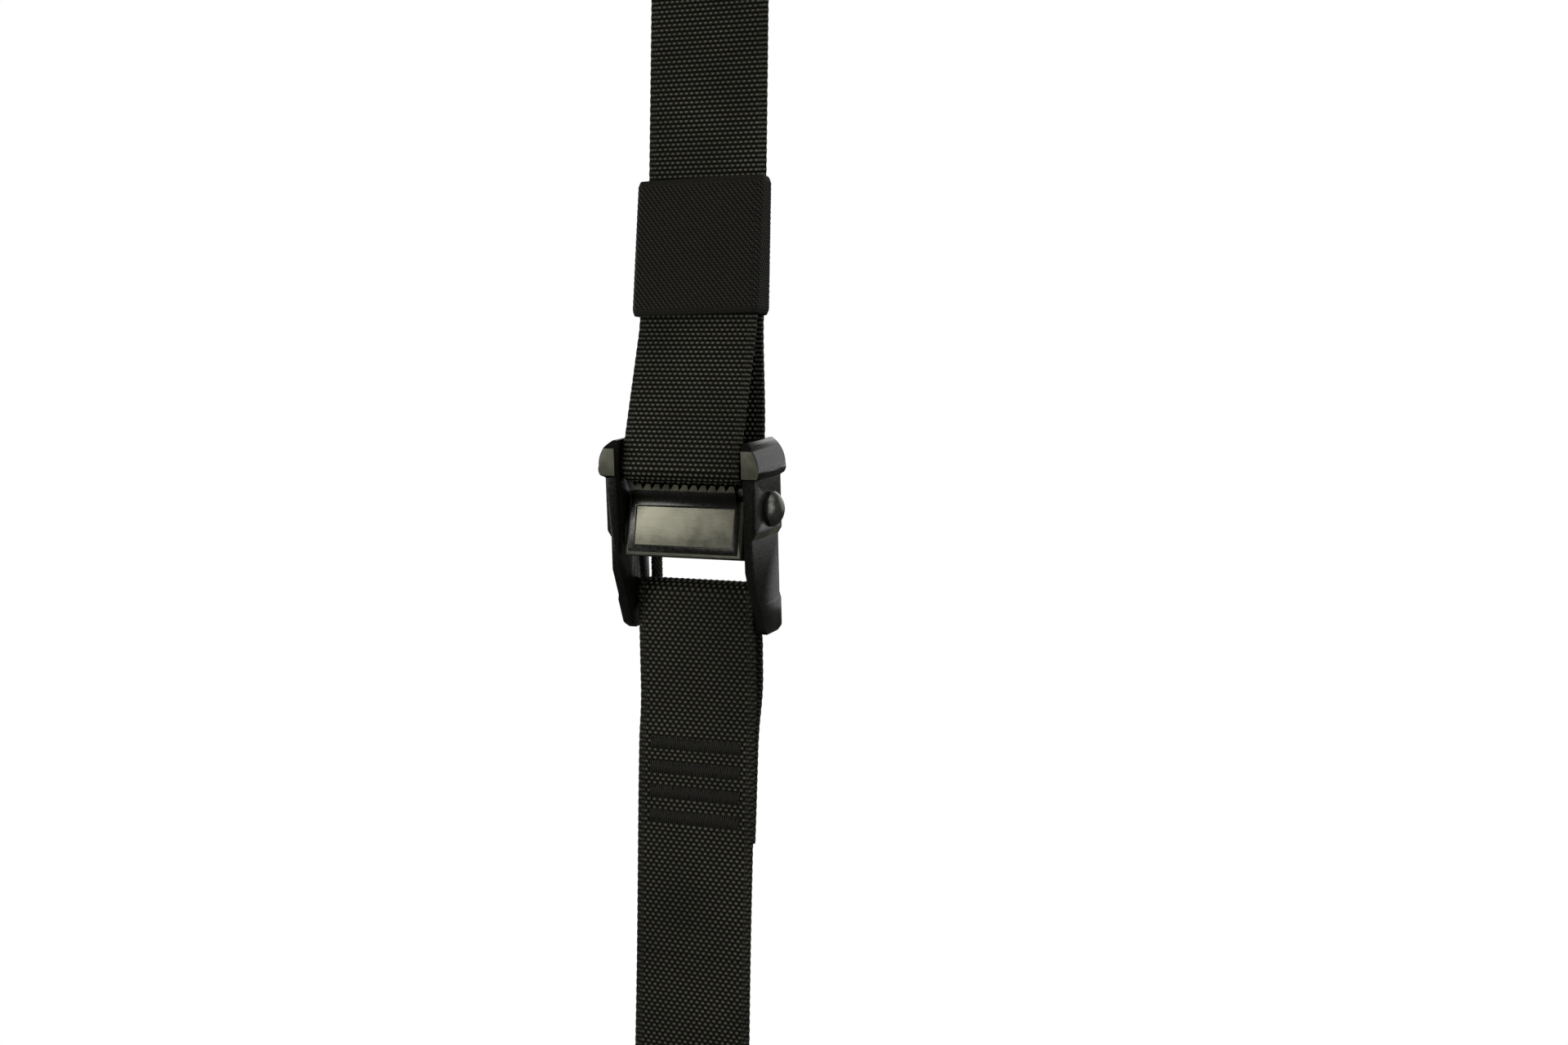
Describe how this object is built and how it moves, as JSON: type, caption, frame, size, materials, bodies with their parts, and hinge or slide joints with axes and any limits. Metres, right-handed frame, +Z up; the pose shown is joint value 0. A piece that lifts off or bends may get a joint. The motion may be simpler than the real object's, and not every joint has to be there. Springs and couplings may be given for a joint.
{
  "type": "cam buckle strap",
  "caption": "Short cam-buckle tie-down strap with sewn eyes, a sprung toothed lever, and an elastic keeper on a braided tether.",
  "frame": {"origin": "centre of the upper sewn eye, on the strap's centre line: the axis of the bar or hook that holds the strap", "axes": "+Z up along the taut strap, X along the buckle's axle, -Y towards the front, where the lever is"},
  "size_m": [0.0532, 0.0294, 0.4822],
  "materials": {
    "coated_zinc": "satin black powder coat on die-cast zinc, worn at its edges",
    "badge_steel": "plain, fine brushed, warm grey",
    "black_steel": "satin black oxide",
    "spring_steel": "dark drawn wire",
    "webbing": "woven polyester, near black",
    "elastic": "twill-faced woven elastic, near black",
    "cord": "braided polyester, near black with lighter crowns",
    "thread": "bonded sewing thread, near black"
  },
  "bodies": {
    "buckle": {"buckle_frame": "coated_zinc", "axle_rivet": "black_steel", "torsion_spring": "spring_steel", "load_strap": "webbing", "anchor_strap": "webbing", "tether_cord": "cord", "upper_eye_tacks": "thread", "buckle_loop_tacks": "thread", "lower_eye_tacks": "thread"},
    "lever": {"cam_lever": "coated_zinc", "badge_plate": "badge_steel"},
    "keeper": {"elastic_keeper": "elastic", "tether_tack": "thread", "keeper_lap_stitches": "thread"}
  },
  "joints": [
    {"name": "lever_pivot", "type": "hinge", "parent": "buckle", "child": "lever", "pos_m": [0, -0.00355, -0.227], "axis": [1, 0, 0], "range_deg": [0, 28], "stiffness_Nm_per_rad": 0.1, "springref_deg": -5.73, "deforming": ["torsion_spring"]},
    {"name": "keeper_slide", "type": "slide", "parent": "buckle", "child": "keeper", "axis": [0, 0, 1], "range_m": [-0.006, 0], "deforming": ["tether_cord"]}
  ]
}
